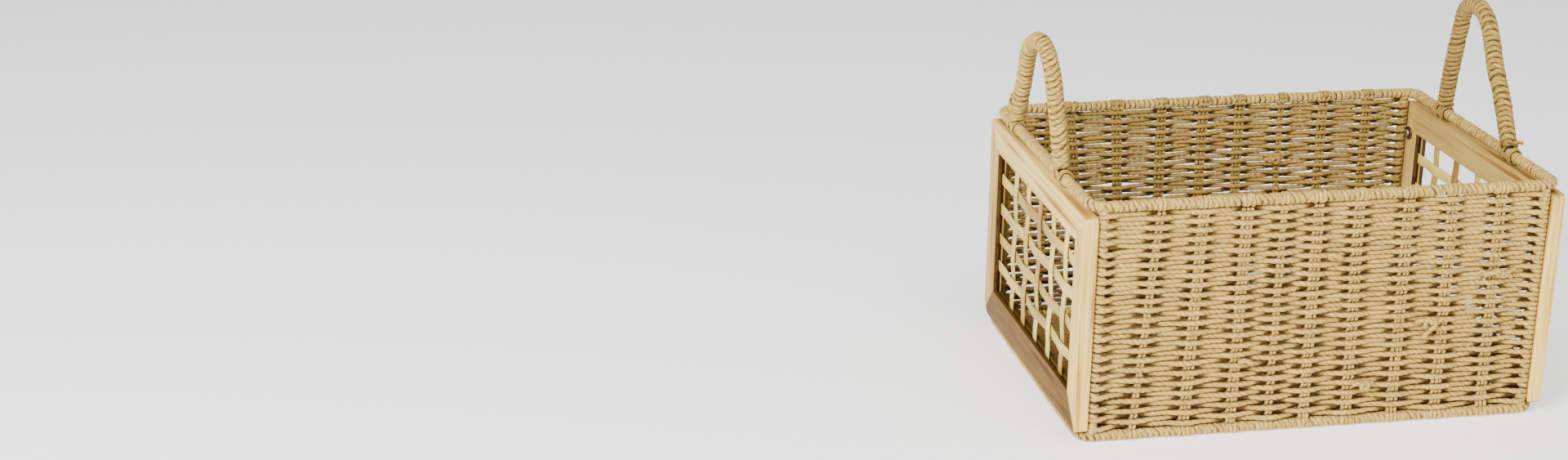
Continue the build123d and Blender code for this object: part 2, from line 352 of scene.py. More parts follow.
def weave_share(x, uprights, parity, longest=1.0):
    """-1 to 1: which side of the stakes a row is on at x, and 0 between them. No two dives are
    quite the same length; longest is the greatest of them, as a share of DIVE_REACH."""
    gaps = np.abs(x[:, None] - uprights[None, :])
    nearest = np.argmin(gaps, axis=1)
    side = 1.0 - 2.0 * ((nearest + parity) % 2)
    after = (x > uprights[nearest]).astype(int)
    reach = DIVE_REACH * rng.uniform(0.85, longest, (len(uprights), 2))[nearest, after]
    return side * np.exp(-((np.min(gaps, axis=1) / reach) ** 3.0))


def open_gaps(x, z, gaps):
    """Rows part round each gap (x, z, half length, opening)."""
    shift = np.zeros_like(x)
    for gap_x, gap_z, half_length, opening in gaps:
        near = np.exp(-(((x - gap_x) / half_length) ** 2))
        above = np.tanh((z - gap_z) / 0.002)
        fade = np.exp(-np.abs(z - gap_z) / 0.010)
        shift += opening * near * above * fade
    return shift


def woven_rows(side, uprights_at, gaps, breadth):
    """Paths of all rows of one wall, in a chain: row, turn round the post, row, and so on."""
    heights = row_heights()
    chains = []
    drift = np.zeros(ROW_SAMPLES)
    xs = np.linspace(-post_x, post_x, ROW_SAMPLES)
    for index, height in enumerate(heights):
        drift = 0.75 * drift + smooth_noise(ROW_SAMPLES, 45, LOOSENESS)
        drift *= np.clip((post_x - np.abs(xs)) / 0.03, 0.15, 1)
        level = height + drift + open_gaps(xs, np.full(ROW_SAMPLES, height), gaps)
        uprights = uprights_at(height)
        lowness = index / len(heights)
        share = weave_share(xs, uprights, index, LONGEST_DIVE + LOWER_DIVES * lowness)
        wobble = smooth_noise(ROW_SAMPLES, 12, 0.00022)
        ys = side * (wall_y + WEAVE_DEPTH * share + wobble)
        near_post = np.clip(1 - (post_x - np.abs(xs)) / 0.012, 0, 1)
        depth = np.where(share > 0, 1, -1) * TURN_RADIUS
        ys = ys * (1 - near_post) + side * (wall_y + depth) * near_post
        leftwards = index % 2 == 1
        if index > 0:
            start = (xs > 0) == leftwards
            level[start] -= 0.25 * BOTTOM_PITCH * near_post[start]
        row = np.stack([xs, ys, level], axis=1)
        if leftwards:
            row = row[::-1]
        flat = np.clip(1 - (post_x - np.abs(row[:, 0])) / 0.015, 0, 1)
        pressed = np.abs(share[::-1] if leftwards else share)
        thickness = WEFT_THICKNESS + (TURN_THICKNESS - WEFT_THICKNESS) * flat
        thickness = thickness * (1 - 0.10 * pressed)
        spread = breadth * (1 + PRESSED_SPREAD * pressed)
        outward = np.tile([0.0, 1.0 if leftwards else -1.0, 0.0], (ROW_SAMPLES, 1))
        bend = side * outward[:, 1] * (share[::-1] if leftwards else share)
        chains.append((row, outward, thickness, spread, bend))
        if index + 1 == len(heights):
            break
        end = -1 if leftwards else 1
        start_front = 1 if share[0 if leftwards else -1] > 0 else -1
        turns = np.linspace(0, 1, TURN_SAMPLES)
        angle = math.pi * 3 * turns
        pitch = height - heights[index + 1]
        fall = np.minimum(turns * 1.5, 1.25) * pitch
        turn_y = side * (wall_y + start_front * TURN_RADIUS * np.cos(angle))
        turn_x = end * (post_x + TURN_RADIUS * np.sin(angle))
        loop = np.stack([turn_x, turn_y, row[-1, 2] - fall], axis=1)
        radial = loop - np.array([end * post_x, side * wall_y, 0])
        radial[:, 2] = 0
        facing = np.sign(outward[-1, 1] * radial[0, 1])
        turned = np.ones(TURN_SAMPLES - 2)
        chains.append(
            (
                loop[1:-1],
                unit(radial[1:-1]) * facing,
                turned * TURN_THICKNESS,
                turned * breadth,
                turned * 0,
            )
        )
    return chains


def join_chain(chain):
    """One cord through the rows and turns of a chain."""
    path, outward, thickness, breadth, bend = (np.concatenate(part) for part in zip(*chain))
    return strand(path, outward, thickness, breadth, depth=bend)


def post_binding(x, wall, low_z, high_z):
    """Close turns of cord round a post, where the rows stop short of a rim."""
    angle = np.arange(0, 2 * math.pi * (high_z - low_z) / BINDING_PITCH, 0.5)
    turns = np.stack(
        [
            x + BINDING_RADIUS * np.cos(angle),
            wall + BINDING_RADIUS * np.sin(angle),
            low_z + BINDING_PITCH * angle / (2 * math.pi),
        ],
        axis=1,
    )
    radial = turns - np.array([x, wall, 0])
    radial[:, 2] = 0
    return strand(turns, unit(radial), TURN_THICKNESS, WEFT_BREADTH)


# Places along the wall where the stakes meet the top rim and the bottom rim.
FRONT_STAKES_TOP = [-0.138, -0.103, -0.067, -0.037, -0.008, 0.026, 0.068, 0.105, 0.146]
FRONT_STAKES_FOOT = [-0.151, -0.108, -0.068, -0.036, -0.006, 0.031, 0.070, 0.108, 0.148]
BACK_STAKES_TOP = [-0.150, -0.130, -0.088, -0.046, -0.007, 0.027, 0.066, 0.106, 0.148]
BACK_STAKES_FOOT = [-0.151, -0.110, -0.076, -0.042, -0.006, 0.029, 0.068, 0.107, 0.149]


def stakes_between(top, foot):
    """A function that gives the places of posts and stakes at a height."""

    def at(height):
        share = (height - wall_low.z) / (wall_high.z - wall_low.z)
        inner = [f + (t - f) * share for t, f in zip(top, foot)]
        return np.array([-post_x, *inner, post_x])

    return at


# Loose spots in the weave: place along the wall, height, half length and how far the rows part.
FRONT_GAPS = [
    (-0.176, 0.162, 0.010, 0.0026),
    (-0.172, 0.035, 0.014, 0.0016),
    (-0.100, 0.147, 0.010, 0.0007),
    (-0.037, 0.141, 0.012, 0.0007),
    (0.178, 0.021, 0.012, 0.0016),
    (0.172, 0.011, 0.016, 0.0016),
    (0.168, 0.109, 0.010, 0.0007),
    (0.125, 0.098, 0.012, 0.0009),
]
BACK_GAPS = [
    (-0.085, 0.124, 0.022, 0.0012),
    (-0.120, 0.119, 0.014, 0.0009),
    (0.010, 0.145, 0.012, 0.0009),
    (0.035, 0.139, 0.012, 0.0009),
    (-0.055, 0.118, 0.012, 0.0009),
    (0.060, 0.112, 0.020, 0.0010),
    (0.100, 0.128, 0.016, 0.0011),
    (0.130, 0.150, 0.014, 0.0011),
    (-0.075, 0.195, 0.010, 0.0009),
]
front_places = stakes_between(FRONT_STAKES_TOP, FRONT_STAKES_FOOT)
back_places = stakes_between(BACK_STAKES_TOP, BACK_STAKES_FOOT)
for wall_name, side, places_at, gaps, breadth, cord in (
    ("front", -1, front_places, FRONT_GAPS, 0.00212, weft_cord),
    ("back", 1, back_places, BACK_GAPS, 0.00196, shaded_back_weft_cord),
):
    chain = woven_rows(side, places_at, gaps, breadth)
    third = len(chain) // 3
    for part_name, part in (
        ("upper", chain[:third]),
        ("middle", chain[third : 2 * third]),
        ("lower", chain[2 * third :]),
    ):
        cord_piece(
            wall_name + "_wall_weft_" + part_name,
            paint_inside_shade([join_chain(part)], (0, -side, 0)),
            cord,
            "basket",
            "woven_cord",
            wall_name + "_wall_weave",
        )

bindings = []
for x in (-post_x, post_x):
    for wall in (-wall_y, wall_y):
        bindings.append(post_binding(x, wall, wall_high.z - 0.009, wall_high.z + 0.003))
        bindings.append(post_binding(x, wall, wall_low.z - 0.003, wall_low.z + 0.008))
cord_piece("post_bindings", bindings, weft_cord, "basket", "woven_cord")


# ---- Stakes ----
# Two or three strands of the same cord stand side by side at each stake. They are pulled tight
# between the rims, and each strand's ends are taken once round the top rim and the bottom one.
STRAND_THICKNESS = 0.0014
STRAND_BREADTH = 0.0017
STRAND_SPACING = 0.0031
STAKE_WAVE = 0.0019  # each row pushes the stake a little to the other side
HOOK_INSET = 0.0006  # how far a strand's end sinks into the rim's winding
rim_low, rim_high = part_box("top_rim_wrap")
top_rim_z = (rim_low.z + rim_high.z) / 2
rim_radius = (rim_high.z - rim_low.z) / 2
foot_wire_low, foot_wire_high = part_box("bottom_rim_wire")
bottom_rim_z = (foot_wire_low.z + foot_wire_high.z) / 2
bottom_rim_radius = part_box("bottom_rim_wrap")[1].z - bottom_rim_z


def hooked_end(x, lean, wall, height, radius, over):
    """A strand's end taken round a rim. over is 1 at the top rim and -1 at the bottom rim."""
    angle = np.linspace(0.62 * math.pi, 2.45 * math.pi, 30)
    hook = np.stack(
        [
            x + lean * (angle / math.pi - 1.5),
            wall - math.copysign(radius, wall) * np.sin(angle),
            height + over * radius * np.cos(angle),
        ],
        axis=1,
    )
    hook[:, 2] = np.maximum(hook[:, 2], 1.15 * STRAND_THICKNESS)
    radial = hook - np.array([0, wall, height])
    radial[:, 0] = 0
    return strand(hook, unit(radial), STRAND_THICKNESS, 1.1 * STRAND_BREADTH, 0.0015)


def stake_strands(wall, places_at, counts):
    """The strands of one wall's stakes, and their ends hooked round both rims."""
    out = math.copysign(1, wall)
    strands = []
    tops = places_at(wall_high.z)[1:-1]
    feet = places_at(wall_low.z)[1:-1]
    rows = np.array(row_heights())[::-1]
    for stake_number, (top_x, foot_x, count) in enumerate(zip(tops, feet, counts)):
        row_sides = 1.0 - 2.0 * ((np.arange(len(rows))[::-1] + stake_number + 1) % 2)
        for number in range(count):
            offset = (number - (count - 1) / 2) * STRAND_SPACING
            heights = np.linspace(bottom_rim_z + 0.005, top_rim_z - 0.006, 180)
            share = (heights - wall_low.z) / (wall_high.z - wall_low.z)
            bends = smooth_noise(len(heights), 18, 0.0003)
            pushed = -STAKE_WAVE * np.interp(heights, rows, row_sides)
            upright = np.stack(
                [
                    foot_x + (top_x - foot_x) * share + offset + bends,
                    wall + out * pushed,
                    heights,
                ],
                axis=1,
            )
            strands.append(strand(upright, [0, out, 0], STRAND_THICKNESS, STRAND_BREADTH))
            lean = rng.normal(0, 0.0009)
            for x, rim_z, radius, over in (
                (top_x, top_rim_z, rim_radius, 1),
                (foot_x, bottom_rim_z, bottom_rim_radius, -1),
            ):
                hook_x = x + 1.15 * offset
                strands.append(hooked_end(hook_x, lean, wall, rim_z, radius - HOOK_INSET, over))
    return strands


for wall_name, wall, places_at, counts, cord in (
    ("front", -wall_y, front_places, [2, 3, 3, 2, 3, 3, 3, 3, 3], stake_cord),
    ("back", wall_y, back_places, [2, 3, 3, 3, 3, 3, 2, 3, 3], shaded_back_stake_cord),
):
    cord_piece(
        wall_name + "_wall_stake_strands",
        paint_inside_shade(stake_strands(wall, places_at, counts), (0, -math.copysign(1, wall), 0)),
        cord,
        "basket",
        "stake_cord",
        wall_name + "_wall_stakes",
    )


# ---- Woven base ----
# The bottom is woven like the walls: the stakes run on across it from the front wall to the back,
# and one cord goes to and fro along the basket's length, over and under them.
base_low, base_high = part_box("base_weave")
base_z = (base_low.z + base_high.z) / 2
base_reach = base_high.x - WEFT_THICKNESS
BASE_PITCH = 0.0044
BASE_DEPTH = 0.0010
BASE_THICKNESS = 0.0016
BASE_BREADTH = 0.0024
BASE_TURN = 0.5 * BASE_PITCH
BASE_STEP = 0.0022
BASE_STRAND_THICKNESS = 0.0011
base_rows = int((base_high.y - base_low.y - 2 * WEFT_BREADTH) / BASE_PITCH)
base_uprights = np.array([-base_reach, *FRONT_STAKES_FOOT, base_reach])
base_xs = np.linspace(-base_reach + BASE_TURN, base_reach - BASE_TURN, 240)
base_paths = []
for row_number in range(base_rows + 1):
    y = (row_number - base_rows / 2) * BASE_PITCH
    bend = weave_share(base_xs, base_uprights, row_number)
    row = np.stack(
        [
            base_xs,
            y + smooth_noise(240, 30, 0.0003),
            base_z + BASE_DEPTH * bend,
        ],
        axis=1,
    )
    if row_number % 2:
        row = row[::-1]
    row[0, 1] = row[-1, 1] = y
    base_paths.append(row)
    if row_number < base_rows:
        end = math.copysign(1, row[-1, 0])
        angle = np.linspace(0, math.pi, 10)[1:-1]
        turn_x = row[-1, 0] + end * BASE_TURN * np.sin(angle)
        turn_y = y + BASE_TURN * (1 - np.cos(angle))
        base_paths.append(np.stack([turn_x, turn_y, np.full(8, row[-1, 2])], axis=1))
for part_name, part in (
    ("front_half", base_paths[:base_rows]),
    ("back_half", base_paths[base_rows:]),
):
    cord_piece(
        "base_weft_" + part_name,
        paint_inside_shade(
            [strand(np.concatenate(part), [0, 0, 1], BASE_THICKNESS, BASE_BREADTH, BASE_STEP)],
            (0, 0, 1),
        ),
        weft_cord,
        "basket",
        "woven_cord",
        "base_weave",
    )
base_strands = []
for x in FRONT_STAKES_FOOT:
    for offset in (-STRAND_SPACING, 0, STRAND_SPACING):
        ys = np.linspace(base_low.y, base_high.y, 40)
        across = np.stack([x + offset + smooth_noise(40, 8, 0.0003), ys, 0 * ys + base_z], axis=1)
        base_strands.append(
            strand(across, [0, 0, 1], BASE_STRAND_THICKNESS, STRAND_BREADTH, BASE_STEP)
        )
cord_piece(
    "base_stake_strands",
    paint_inside_shade(base_strands, (0, 0, 1)),
    stake_cord,
    "basket",
    "stake_cord",
    "base_stakes",
)


# ---- Rims ----
# Each rim is a bent wire ring wound close with one flattened length of cord. The turns lean a
# little and are not quite even, and they fan out round the corners.
RIM_PITCH = 0.0045
RIM_CORD_THICKNESS = 0.0014
RIM_CORD_BREADTH = 0.0025
RIM_LEAN = 0.0016  # a turn swings this far to either side as it goes round
RIM_UNEVENNESS = 0.0005
RIM_BEND = 0.011
WOUND_STEP = 0.0017
WOUND_LAY = 0.016
rim_cord = cord_material(
    "rim_cord", (0.82, 0.57, 0.165), (0.60, 0.385, 0.085), (0.12, 0.052, 0.01)
)


def wound_cord(core, normals, radius, pitch, thickness, breadth, lean, uneven):
    """One cord wound round a core path; radius is from the core to the wound cord's outside.
    lean is one number, or several that follow each other along the core."""
    core = np.asarray(core, float)
    lengths = lengths_along(core)
    turns = lengths[-1] / pitch
    count = int(turns * 20)
    angle = np.linspace(0, 2 * math.pi * turns, count)
    place = np.linspace(0, lengths[-1], count)
    lean_here = np.interp(place / lengths[-1], np.linspace(0, 1, np.size(lean)), np.ravel(lean))
    place += smooth_noise(count, 22, uneven) + lean_here * np.sin(angle + 0.6)
    place = np.clip(place, 0, lengths[-1])
    tangents = unit(sampled(place, lengths, np.gradient(core, axis=0)))
    across = sampled(place, lengths, np.broadcast_to(normals, core.shape))
    across = unit(across - tangents * np.sum(across * tangents, axis=1, keepdims=True))
    third = np.cross(tangents, across)
    outward = across * np.cos(angle)[:, None] + third * np.sin(angle)[:, None]
    reach = radius - thickness + smooth_noise(count, 15, 0.00012)
    path = sampled(place, lengths, core) + outward * reach[:, None]
    return strand(path, outward, thickness, breadth, WOUND_STEP, WOUND_LAY)


def rim_path(height, half_length, half_width, bend):
    """A closed round-cornered rectangle that starts in the middle of the back."""
    points = []
    for corner_x, corner_y, start in ((1, 1, 90), (1, -1, 0), (-1, -1, -90), (-1, 1, -180)):
        for step in range(13):
            angle = math.radians(start - 90 * step / 12)
            points.append(
                (
                    corner_x * (half_length - bend) + bend * math.cos(angle),
                    corner_y * (half_width - bend) + bend * math.sin(angle),
                    height,
                )
            )
    start = (0, half_width, height)
    return np.array([start, *points, start])


def fine(path, step=0.001):
    """The path with a point at every step."""
    lengths = lengths_along(path)
    return sampled(np.linspace(0, lengths[-1], int(lengths[-1] / step)), lengths, path)


rim_half_length = rim_high.x - rim_radius
rim_half_width = rim_high.y - rim_radius
for rim_name, height, radius in (
    ("top_rim", top_rim_z, rim_radius),
    ("bottom_rim", bottom_rim_z, bottom_rim_radius),
):
    path = fine(rim_path(height, rim_half_length, rim_half_width, RIM_BEND))
    winding = wound_cord(
        path,
        [0, 0, 1],
        radius,
        RIM_PITCH,
        RIM_CORD_THICKNESS,
        RIM_CORD_BREADTH,
        RIM_LEAN,
        RIM_UNEVENNESS,
    )
    winding[0][..., 2] = np.maximum(winding[0][..., 2], 0.0)  # pressed flat by the floor
    cord_piece(rim_name + "_cord", [winding], rim_cord, "basket", "rim_cord", rim_name + "_wrap")


# ---- Wooden end frames ----
# Each end has four planed softwood boards, mitred at the corners, with softened arrises and a
# groove along the inner edges for the bamboo. Hidden dowels hold the mitres together.
ARRIS = 0.0008
CORNER_ROUNDING = 0.005
REAR_FOOT_ROUNDING = 0.014
GROOVE_WIDTH = 0.0036
GROOVE_DEPTH = 0.004


def grain(along, across_scale, length_scale):
    """Noise scales for a grain along one axis (0 is X, 1 is Y, 2 is Z)."""
    return tuple(length_scale if axis == along else across_scale for axis in range(3))


def roughness_from(tree, links, shader, noise, low, high):
    """A roughness that goes from low to high with a noise."""
    rough = ramp_between(tree, links, noise, [(0.2, (low, low, low)), (0.8, (high, high, high))])
    links.new(rough.outputs["Color"], shader.inputs["Roughness"])


def wood_material(name, along, tint=(1, 1, 1)):
    """Pale bare softwood with its grain along one axis. The tint is the board's own tone; the
    darker tints also hold painted shade.
    """
    made, tree, links, shader = new_material(name, (0.72, 0.58, 0.40), 0.55)
    shader.inputs["Specular IOR Level"].default_value = 0.12
    place = tree.new("ShaderNodeTexCoord").outputs["Object"]
    rings = noise_on(tree, links, place, 1.0, grain(along, 150, 4.5), 5)
    rings.inputs["Distortion"].default_value = 0.6
    fibres = noise_on(tree, links, place, 1.0, grain(along, 1300, 28), 4)
    patches = noise_on(tree, links, place, 1.0, grain(along, 30, 9), 3)
    tones = (
        (0.32, (0.38, 0.20, 0.04)),
        (0.42, (0.66, 0.45, 0.12)),
        (0.55, (0.885, 0.66, 0.21)),
        (0.72, (0.72, 0.50, 0.145)),
    )
    stops = [
        (position, tuple(part * share for part, share in zip(colour, tint)))
        for position, colour in tones
    ]
    ring_ramp = ramp_between(tree, links, rings.outputs["Fac"], stops)
    fibre_ramp = ramp_between(
        tree, links, fibres.outputs["Fac"], [(0.3, (0.84, 0.79, 0.72)), (0.6, (1.04, 1.03, 1.02))]
    )
    patch_ramp = ramp_between(
        tree, links, patches.outputs["Fac"], [(0.3, (0.88, 0.84, 0.78)), (0.65, (1.05, 1.05, 1.05))]
    )
    wood = multiplied(tree, links, ring_ramp.outputs["Color"], fibre_ramp.outputs["Color"])
    wood = multiplied(tree, links, wood, patch_ramp.outputs["Color"])
    links.new(wood, shader.inputs["Base Color"])
    roughness_from(tree, links, shader, fibres.outputs["Fac"], 0.70, 0.48)
    add_bump(tree, links, shader, fibres.outputs["Fac"], 0.00025, 0.5)
    add_bump(tree, links, shader, rings.outputs["Fac"], 0.0004, 0.4)
    return made


rail_wood = wood_material("rail_wood", 1)
# The right top rail's wood is a darker copy of the rail wood: painted shade.
shaded_rail_wood = wood_material("shaded_rail_wood", 1, (0.66, 0.62, 0.56))
stile_wood = wood_material("stile_wood", 2, (0.98, 0.95, 0.86))
# The back stiles' wood is a darker copy of the stile wood: painted shade.
shaded_stile_wood = wood_material("shaded_stile_wood", 2, (0.72, 0.68, 0.60))
# The bottom rails' wood is far darker: partly the boards' own darker heartwood, partly painted
# shade.
bottom_rail_wood = wood_material("bottom_rail_wood", 1, (0.205, 0.155, 0.09))
board_wood = {
    "left_top_rail": rail_wood,
    "left_bottom_rail": bottom_rail_wood,
    "left_front_stile": stile_wood,
    "left_back_stile": shaded_stile_wood,
    "right_top_rail": shaded_rail_wood,
    "right_bottom_rail": bottom_rail_wood,
    "right_front_stile": stile_wood,
    "right_back_stile": shaded_stile_wood,
}
# The reveal round each opening is painted almost black: painted shade in the recess.
reveal_shade = wood_material("reveal_shade", 1, (0.085, 0.06, 0.04))
REVEAL_MARGIN = 0.00525  # faces this close to the opening's edges have the painted shade


def only(piece):
    """Make piece the one selected and active object."""
    bpy.ops.object.select_all(action="DESELECT")
    piece.select_set(True)
    bpy.context.view_layer.objects.active = piece


def settle(piece, body, slot, *replaced):
    """Put the piece's place in its mesh, hang it on its body's empty and hide the parts it stands
    for.
    """
    only(piece)
    bpy.ops.object.transform_apply(location=True, rotation=True, scale=True)
    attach(piece, body)
    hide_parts(*replaced)


def block(name, low, high):
    """A new cube that fills a box, with its place already in its mesh."""
    bpy.ops.object.select_all(action="DESELECT")
    middle = [(a + b) / 2 for a, b in zip(low, high)]
    bpy.ops.mesh.primitive_cube_add(size=1, location=middle)
    made = bpy.context.object
    made.name = name
    made.scale = [b - a for a, b in zip(low, high)]
    bpy.ops.object.transform_apply(location=True, rotation=True, scale=True)
    return made


def pick(kind, chosen):
    """In edit mode, select just the elements of a kind (VERT, EDGE or FACE) that chosen accepts."""
    bpy.ops.mesh.select_mode(type=kind)
    bpy.ops.mesh.select_all(action="DESELECT")
    mesh = bmesh.from_edit_mesh(bpy.context.edit_object.data)
    elements = {"VERT": mesh.verts, "EDGE": mesh.edges, "FACE": mesh.faces}[kind]
    for element in elements:
        element.select_set(bool(chosen(element)))
    mesh.select_flush_mode()
    bmesh.update_edit_mesh(bpy.context.edit_object.data)


def apply_all(piece):
    """Apply the piece's modifiers in their order."""
    only(piece)
    for modifier in list(piece.modifiers):
        bpy.ops.object.modifier_apply(modifier=modifier.name)


def frame_board(end_name, board_name):
    """One mitred board of an end frame, made to the size of its CAD node."""
    node_name = end_name + "_frame_" + board_name
    low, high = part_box(node_name)
    frame_low, frame_high = low.copy(), high.copy()
    frame_low.z, opening_low_z = (c.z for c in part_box(end_name + "_frame_bottom_rail"))
    opening_high_z, frame_high.z = (c.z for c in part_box(end_name + "_frame_top_rail"))
    frame_low.y, opening_low_y = (c.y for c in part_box(end_name + "_frame_front_stile"))
    opening_high_y, frame_high.y = (c.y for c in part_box(end_name + "_frame_back_stile"))
    if "rail" in board_name:
        low.y, high.y = frame_low.y, frame_high.y
    else:
        low.z, high.z = frame_low.z, frame_high.z
    board = block(end_name + "_" + board_name + "_board", low, high)
    bpy.ops.object.mode_set(mode="EDIT")

    def through_corner(edge, y, z):
        return all((v.co.yz - Vector((y, z))).length < 1e-5 for v in edge.verts)

    for y, z, rounding in (
        (frame_low.y, frame_low.z, CORNER_ROUNDING),
        (frame_low.y, frame_high.z, CORNER_ROUNDING),
        (frame_high.y, frame_high.z, CORNER_ROUNDING),
        (frame_high.y, frame_low.z, REAR_FOOT_ROUNDING),
    ):
        pick("EDGE", lambda edge, y=y, z=z: through_corner(edge, y, z))
        bpy.ops.mesh.bevel(offset=rounding, segments=7, affect="EDGES")
    middle = Vector([(a + b) / 2 for a, b in zip(low, high)])
    mitres = []
    for outer_y, inner_y in ((frame_low.y, opening_low_y), (frame_high.y, opening_high_y)):
        for outer_z, inner_z in ((frame_low.z, opening_low_z), (frame_high.z, opening_high_z)):
            corner = Vector((0, outer_y, outer_z))
            slope = Vector((0, inner_y - outer_y, inner_z - outer_z))
            normal = Vector((0, -slope.z, slope.y)).normalized()
            on_board_y = low.y - 1e-4 < outer_y < high.y + 1e-4
            on_board_z = low.z - 1e-4 < outer_z < high.z + 1e-4
            if not (on_board_y and on_board_z):
                continue
            if (middle - corner).dot(normal) > 0:
                normal = -normal
            mitres.append((corner, normal))
            bpy.ops.mesh.select_all(action="SELECT")
            bpy.ops.mesh.bisect(
                plane_co=corner, plane_no=normal, use_fill=True, clear_outer=True, threshold=1e-6
            )

    def on_mitre(edge):
        return any(
            all(abs((v.co - corner).dot(normal)) < 2e-5 for v in edge.verts)
            for corner, normal in mitres
        )

    pick("EDGE", lambda edge: edge.calc_face_angle(0) > 0.6 and not on_mitre(edge))
    bpy.ops.mesh.bevel(offset=ARRIS, segments=3, affect="EDGES")
    bpy.ops.object.mode_set(mode="OBJECT")
    middle_x = (low.x + high.x) / 2
    cutter = block(
        "groove_cutter",
        (middle_x - GROOVE_WIDTH / 2, opening_low_y - GROOVE_DEPTH, opening_low_z - GROOVE_DEPTH),
        (middle_x + GROOVE_WIDTH / 2, opening_high_y + GROOVE_DEPTH, opening_high_z + GROOVE_DEPTH),
    )
    groove = board.modifiers.new("groove", "BOOLEAN")
    groove.object = cutter
    apply_all(board)
    bpy.data.objects.remove(cutter)
    bpy.ops.object.shade_smooth_by_angle(angle=math.radians(35))
    board.data.materials.append(board_wood[end_name + "_" + board_name])
    board.data.materials.append(reveal_shade)
    opening_y = (opening_low_y + opening_high_y) / 2
    opening_z = (opening_low_z + opening_high_z) / 2
    opening = Vector((middle_x, opening_y, opening_z))
    # Faces round the opening that face into it take the second material, the painted shade.
    for face in board.data.polygons:
        y, z = face.center.y, face.center.z
        at_edge = (
            opening_low_y - REVEAL_MARGIN < y < opening_high_y + REVEAL_MARGIN
            and opening_low_z - REVEAL_MARGIN < z < opening_high_z + REVEAL_MARGIN
        )
        if at_edge and abs(face.normal.x) < 0.5 and (opening - face.center).dot(face.normal) > 0:
            face.material_index = 1
    settle(board, "basket", "pale_wood", node_name)


for end_name in ("left", "right"):
    for board_name in ("top_rail", "bottom_rail", "front_stile", "back_stile"):
        frame_board(end_name, board_name)
    dowels = nodes[end_name + "_frame_dowels"]
    dowels.data.materials.clear()
    dowels.data.materials.append(rail_wood)


# ---- Bamboo lattice ----
# Flat split bamboo strips, woven one over and one under, with their ends let into the grooves of
# the end frames. The strips are thin and springy, so each bends round the ones it crosses.
UPRIGHT_WAVE = 0.0008  # the uprights stand stiff and the cross strips do most of the bending
CROSS_WAVE = 0.0021
STRIP_HALF_WIDTH = 0.00475
CROSSING_REACH = 0.0075  # half the length of strip that a crossing pushes aside


def bamboo_material(name, along):
    """Split bamboo: straight fine fibres along the strip, and a slightly waxy face."""
    made, tree, links, shader = new_material(name, (0.78, 0.62, 0.34), 0.38)
    shader.inputs["Specular IOR Level"].default_value = 0.2
    place = tree.new("ShaderNodeTexCoord").outputs["Object"]
    fibres = noise_on(tree, links, place, 1.0, grain(along, 1100, 10), 3)
    tones = noise_on(tree, links, place, 1.0, grain(along, 24, 5), 2)
    tone_ramp = ramp_between(
        tree,
        links,
        tones.outputs["Fac"],
        [(0.36, (0.34, 0.195, 0.04)), (0.47, (0.52, 0.35, 0.075)), (0.62, (0.78, 0.59, 0.15))],
    )
    fibre_ramp = ramp_between(
        tree, links, fibres.outputs["Fac"], [(0.3, (0.86, 0.82, 0.74)), (0.62, (1.05, 1.05, 1.04))]
    )
    bamboo = multiplied(tree, links, tone_ramp.outputs["Color"], fibre_ramp.outputs["Color"])
    links.new(bamboo, shader.inputs["Base Color"])
    roughness_from(tree, links, shader, fibres.outputs["Fac"], 0.5, 0.32)
    add_bump(tree, links, shader, fibres.outputs["Fac"], 0.0001, 0.6)
    return made


upright_bamboo = bamboo_material("upright_bamboo", 2)
cross_bamboo = bamboo_material("cross_bamboo", 1)


def bamboo_strip(name, low, high, along, crossings, first_side, wave):
    """One strip along an axis, bent to either side in turn where it crosses the others."""
    strip = block(name, low, high)
    bpy.ops.object.mode_set(mode="EDIT")
    pick("EDGE", lambda edge: abs((edge.verts[0].co - edge.verts[1].co)[along]) > 0.05)
    bpy.ops.mesh.subdivide(number_cuts=47)
    for number, crossing in enumerate(crossings):
        pick("VERT", lambda vert, crossing=crossing: abs(vert.co[along] - crossing) < CROSSING_REACH)
        side = first_side * (-1) ** number
        bpy.ops.transform.translate(value=(side * wave, 0, 0))
    bpy.ops.object.mode_set(mode="OBJECT")
    rounding = strip.modifiers.new("rounding", "BEVEL")
    rounding.width = 0.0003
    rounding.segments = 2
    rounding.limit_method = "ANGLE"
    rounding.angle_limit = math.radians(50)
    bend = strip.modifiers.new("bend", "SMOOTH")
    bend.iterations = 14
    bend.factor = 0.5
    bend.use_x = True
    bend.use_y = False
    bend.use_z = False
    apply_all(strip)
    bpy.ops.object.shade_smooth_by_angle(angle=math.radians(40))
    return strip


